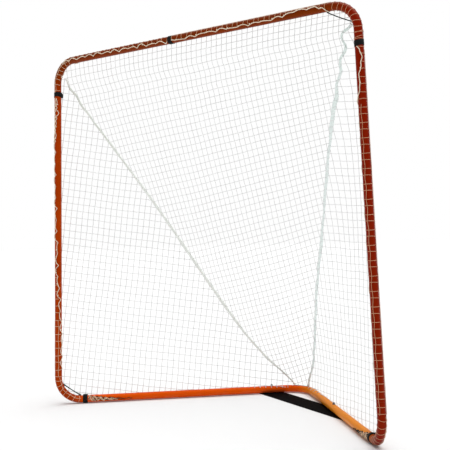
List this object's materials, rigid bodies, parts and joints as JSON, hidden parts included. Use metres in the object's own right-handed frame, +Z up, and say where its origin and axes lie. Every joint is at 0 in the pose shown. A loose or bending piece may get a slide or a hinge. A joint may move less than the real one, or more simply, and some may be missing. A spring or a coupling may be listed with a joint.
{
  "type": "lacrosse goal",
  "caption": "Free-standing square sports goal of bent orange tube with a V base, a black ground plate and a white three-panel net drawn back to a point.",
  "frame": {"origin": "on the ground, under the middle of the goal's overall box", "axes": "+X to the goal's right along the crossbar as a shooter sees it, +Y to the rear, +Z up"},
  "size_m": [1.9386, 1.0065, 1.892],
  "materials": {
    "frame_paint": "glossy orange powder coat",
    "plate_black": "satin black paint",
    "spring_steel": "blued spring strip",
    "button_zinc": "zinc plate",
    "fastener_zinc": "zinc plate",
    "strap_black": "hook-and-loop tape",
    "tie_cord": "braided cord",
    "edge_cord": "cream twisted cord",
    "net_twine": "white knotted twine",
    "seam_band": "pale grey-green lacing"
  },
  "bodies": {
    "frame": {"top_left_corner_tube": "frame_paint", "top_right_corner_tube": "frame_paint", "left_post_tube": "frame_paint", "left_elbow_tube": "frame_paint", "left_base_tube": "frame_paint", "right_post_tube": "frame_paint", "right_elbow_tube": "frame_paint", "right_base_tube": "frame_paint", "rear_apex_tube": "frame_paint", "crossbar_leaf_spring": "spring_steel", "left_top_leaf_spring": "spring_steel", "left_low_leaf_spring": "spring_steel", "left_base_leaf_spring": "spring_steel", "left_rear_leaf_spring": "spring_steel", "right_top_leaf_spring": "spring_steel", "right_low_leaf_spring": "spring_steel", "right_base_leaf_spring": "spring_steel", "right_rear_leaf_spring": "spring_steel", "crossbar_strap": "strap_black", "left_post_strap": "strap_black", "left_base_strap": "strap_black", "right_post_strap": "strap_black", "right_base_strap": "strap_black", "left_top_tie": "tie_cord", "left_base_tie": "tie_cord", "right_top_tie": "tie_cord", "right_base_tie": "tie_cord", "top_edge_cord": "edge_cord", "left_edge_cord": "edge_cord", "right_edge_cord": "edge_cord", "net_centre_panel": "net_twine", "net_left_panel": "net_twine", "net_right_panel": "net_twine", "left_seam_band": "seam_band", "right_seam_band": "seam_band", "plate_screws": "fastener_zinc", "plate_washers": "fastener_zinc", "plate_cap_nuts": "fastener_zinc", "ground_plate": "plate_black"},
    "crossbar_button": {"crossbar_snap_button": "button_zinc"},
    "left_top_button": {"left_top_snap_button": "button_zinc"},
    "left_low_button": {"left_low_snap_button": "button_zinc"},
    "left_base_button": {"left_base_snap_button": "button_zinc"},
    "left_rear_button": {"left_rear_snap_button": "button_zinc"},
    "right_top_button": {"right_top_snap_button": "button_zinc"},
    "right_low_button": {"right_low_snap_button": "button_zinc"},
    "right_base_button": {"right_base_snap_button": "button_zinc"},
    "right_rear_button": {"right_rear_snap_button": "button_zinc"}
  },
  "joints": [
    {"name": "crossbar_button_press", "type": "slide", "parent": "frame", "child": "crossbar_button", "axis": [0, -1, 0], "range_m": [0, 0.006], "stiffness_N_per_m": 1500, "springref_m": -0.002},
    {"name": "left_top_button_press", "type": "slide", "parent": "frame", "child": "left_top_button", "axis": [0, -1, 0], "range_m": [0, 0.006], "stiffness_N_per_m": 1500, "springref_m": -0.002},
    {"name": "left_low_button_press", "type": "slide", "parent": "frame", "child": "left_low_button", "axis": [0, -1, 0], "range_m": [0, 0.006], "stiffness_N_per_m": 1500, "springref_m": -0.002},
    {"name": "left_base_button_press", "type": "slide", "parent": "frame", "child": "left_base_button", "axis": [0.7307, -0.6827, 0], "range_m": [0, 0.006], "stiffness_N_per_m": 1500, "springref_m": -0.002},
    {"name": "left_rear_button_press", "type": "slide", "parent": "frame", "child": "left_rear_button", "axis": [0.7307, -0.6827, 0], "range_m": [0, 0.006], "stiffness_N_per_m": 1500, "springref_m": -0.002},
    {"name": "right_top_button_press", "type": "slide", "parent": "frame", "child": "right_top_button", "axis": [0, -1, 0], "range_m": [0, 0.006], "stiffness_N_per_m": 1500, "springref_m": -0.002},
    {"name": "right_low_button_press", "type": "slide", "parent": "frame", "child": "right_low_button", "axis": [0, -1, 0], "range_m": [0, 0.006], "stiffness_N_per_m": 1500, "springref_m": -0.002},
    {"name": "right_base_button_press", "type": "slide", "parent": "frame", "child": "right_base_button", "axis": [-0.7307, -0.6827, 0], "range_m": [0, 0.006], "stiffness_N_per_m": 1500, "springref_m": -0.002},
    {"name": "right_rear_button_press", "type": "slide", "parent": "frame", "child": "right_rear_button", "axis": [-0.7307, -0.6827, 0], "range_m": [0, 0.006], "stiffness_N_per_m": 1500, "springref_m": -0.002}
  ]
}
